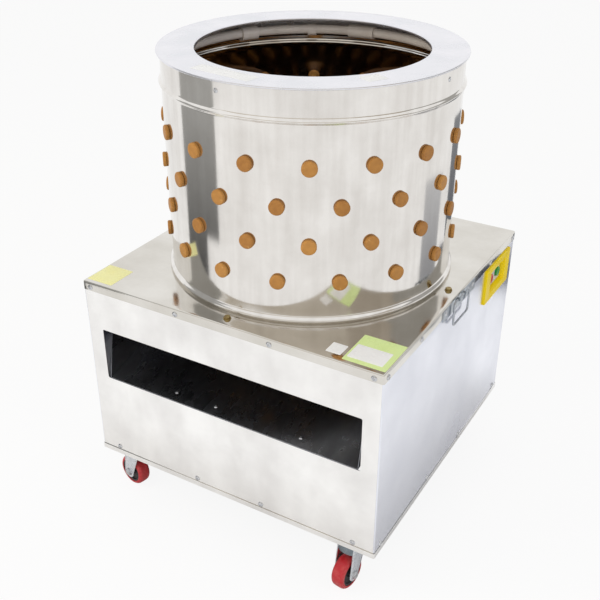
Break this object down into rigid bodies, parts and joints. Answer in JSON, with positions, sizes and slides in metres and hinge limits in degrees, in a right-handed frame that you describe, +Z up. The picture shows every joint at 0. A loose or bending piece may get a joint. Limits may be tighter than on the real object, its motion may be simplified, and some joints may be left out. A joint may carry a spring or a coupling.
{
  "type": "poultry plucker",
  "caption": "Drum poultry plucker: square stainless cabinet on castors with a feather chute, a rubber-fingered drum above and a spinning feather plate.",
  "frame": {"origin": "on the floor, under the drum's axis and the middle of the footprint", "axes": "+Z up along the drum's axis, the feather chute opens towards -Y, the switch is on the +X side"},
  "size_m": [0.7226, 0.7316, 1.024],
  "materials": {
    "frame_steel": "dark slate paint",
    "stainless_sheet": "satin stainless sheet",
    "stainless_chute": "dull stainless sheet",
    "bright_fastener": "bright steel",
    "yellow_zinc": "yellow zinc plate",
    "polished_stainless": "semi-bright stainless",
    "stainless_plate": "satin plate",
    "finger_rubber": "moulded ochre rubber",
    "pipe_plastic": "grey-beige pipe",
    "clip_steel": "satin",
    "cast_iron": "grey casting",
    "bearing_steel": "ground steel",
    "motor_paint": "blue-grey enamel",
    "motor_cover": "dark enamel",
    "dark_plastic": "moulded",
    "belt_rubber": "black rubber",
    "yellow_plastic": "moulded yellow",
    "switch_grey": "pale grey",
    "green_button": "green",
    "red_button": "red",
    "zinc_steel": "bright zinc plate",
    "core_plastic": "black moulding",
    "red_tread": "red polyurethane"
  },
  "bodies": {
    "cabinet": {"base_frame": "frame_steel", "bearing_beam": "frame_steel", "motor_plate": "frame_steel", "drum_clips": "frame_steel", "front_panel": "stainless_sheet", "back_panel": "stainless_sheet", "left_panel": "stainless_sheet", "right_panel": "stainless_sheet", "top_plate": "stainless_sheet", "foot_rim": "stainless_sheet", "feather_chute": "stainless_chute", "panel_screws": "bright_fastener", "blind_rivets": "bright_fastener", "machine_bolts": "bright_fastener", "deck_bolts": "yellow_zinc", "drum_shell": "polished_stainless", "drum_rim_ring": "polished_stainless", "drum_fingers_row_1": "finger_rubber", "drum_fingers_row_2": "finger_rubber", "drum_fingers_row_3": "finger_rubber", "drum_fingers_row_4": "finger_rubber", "spray_pipe": "pipe_plastic", "spray_sleeve": "pipe_plastic", "spray_inlet": "pipe_plastic", "spray_clips": "clip_steel", "bearing_housing": "cast_iron", "shaft_bearings": "bearing_steel", "motor_body": "motor_paint", "motor_fan_cover": "motor_cover", "motor_terminal_box": "dark_plastic", "cable_gland": "dark_plastic", "v_belt": "belt_rubber", "switch_bezel": "yellow_plastic", "switch_body": "switch_grey", "handle_plates": "zinc_steel", "castor_plates": "zinc_steel"},
    "feather_rotor": {"feather_plate": "stainless_plate", "plate_fingers": "finger_rubber", "plate_hub": "cast_iron", "plate_fixings": "bright_fastener", "main_shaft": "bearing_steel", "driven_pulley": "cast_iron"},
    "motor_rotor": {"motor_shaft": "bearing_steel", "motor_pulley": "cast_iron"},
    "castor_front_left_swivel": {"castor_fork_front_left": "zinc_steel"},
    "castor_front_left_wheel": {"castor_core_front_left": "core_plastic", "castor_tyre_front_left": "red_tread"},
    "castor_front_right_swivel": {"castor_fork_front_right": "zinc_steel"},
    "castor_front_right_wheel": {"castor_core_front_right": "core_plastic", "castor_tyre_front_right": "red_tread"},
    "castor_back_left_swivel": {"castor_fork_back_left": "zinc_steel"},
    "castor_back_left_wheel": {"castor_core_back_left": "core_plastic", "castor_tyre_back_left": "red_tread"},
    "castor_back_right_swivel": {"castor_fork_back_right": "zinc_steel"},
    "castor_back_right_wheel": {"castor_core_back_right": "core_plastic", "castor_tyre_back_right": "red_tread"},
    "right_bail": {"right_bail": "zinc_steel"},
    "left_bail": {"left_bail": "zinc_steel"},
    "start_button": {"start_button": "green_button"},
    "stop_button": {"stop_button": "red_button"}
  },
  "joints": [
    {"name": "plate_spin", "type": "hinge", "parent": "cabinet", "child": "feather_rotor", "pos_m": [0, 0, 0.541], "axis": [0, 0, 1], "continuous": true},
    {"name": "motor_spin", "type": "hinge", "parent": "cabinet", "child": "motor_rotor", "pos_m": [0, 0.235, 0.278], "axis": [0, 0, 1], "continuous": true},
    {"name": "castor_front_left_turn", "type": "hinge", "parent": "cabinet", "child": "castor_front_left_swivel", "pos_m": [-0.283, -0.3, 0.115], "axis": [0, 0, 1], "continuous": true},
    {"name": "castor_front_left_roll", "type": "hinge", "parent": "castor_front_left_swivel", "child": "castor_front_left_wheel", "pos_m": [-0.31039, -0.29418, 0.0375], "axis": [-0.2079, -0.9781, 0], "continuous": true},
    {"name": "castor_front_right_turn", "type": "hinge", "parent": "cabinet", "child": "castor_front_right_swivel", "pos_m": [0.283, -0.3, 0.115], "axis": [0, 0, 1], "continuous": true},
    {"name": "castor_front_right_roll", "type": "hinge", "parent": "castor_front_right_swivel", "child": "castor_front_right_wheel", "pos_m": [0.2791, -0.32773, 0.0375], "axis": [0.9903, -0.1392, 0], "continuous": true},
    {"name": "castor_back_left_turn", "type": "hinge", "parent": "cabinet", "child": "castor_back_left_swivel", "pos_m": [-0.283, 0.3, 0.115], "axis": [0, 0, 1], "continuous": true},
    {"name": "castor_back_left_roll", "type": "hinge", "parent": "castor_back_left_swivel", "child": "castor_back_left_wheel", "pos_m": [-0.2791, 0.32773, 0.0375], "axis": [-0.9903, 0.1392, 0], "continuous": true},
    {"name": "castor_back_right_turn", "type": "hinge", "parent": "cabinet", "child": "castor_back_right_swivel", "pos_m": [0.283, 0.3, 0.115], "axis": [0, 0, 1], "continuous": true},
    {"name": "castor_back_right_roll", "type": "hinge", "parent": "castor_back_right_swivel", "child": "castor_back_right_wheel", "pos_m": [0.25543, 0.30486, 0.0375], "axis": [-0.1736, -0.9848, 0], "continuous": true},
    {"name": "right_bail_lift", "type": "hinge", "parent": "cabinet", "child": "right_bail", "pos_m": [0.35665, 0, 0.561], "axis": [0, -1, 0], "range_deg": [0, 110]},
    {"name": "left_bail_lift", "type": "hinge", "parent": "cabinet", "child": "left_bail", "pos_m": [-0.35665, 0, 0.561], "axis": [0, 1, 0], "range_deg": [0, 110]},
    {"name": "start_press", "type": "slide", "parent": "cabinet", "child": "start_button", "axis": [-1, 0, 0], "range_m": [0, 0.004], "stiffness_N_per_m": 400, "springref_m": -0.001},
    {"name": "stop_press", "type": "slide", "parent": "cabinet", "child": "stop_button", "axis": [-1, 0, 0], "range_m": [0, 0.004], "stiffness_N_per_m": 400, "springref_m": -0.001}
  ],
  "couplings": [
    {"joint": "motor_spin", "follows": "plate_spin", "ratio": 4.7097}
  ]
}
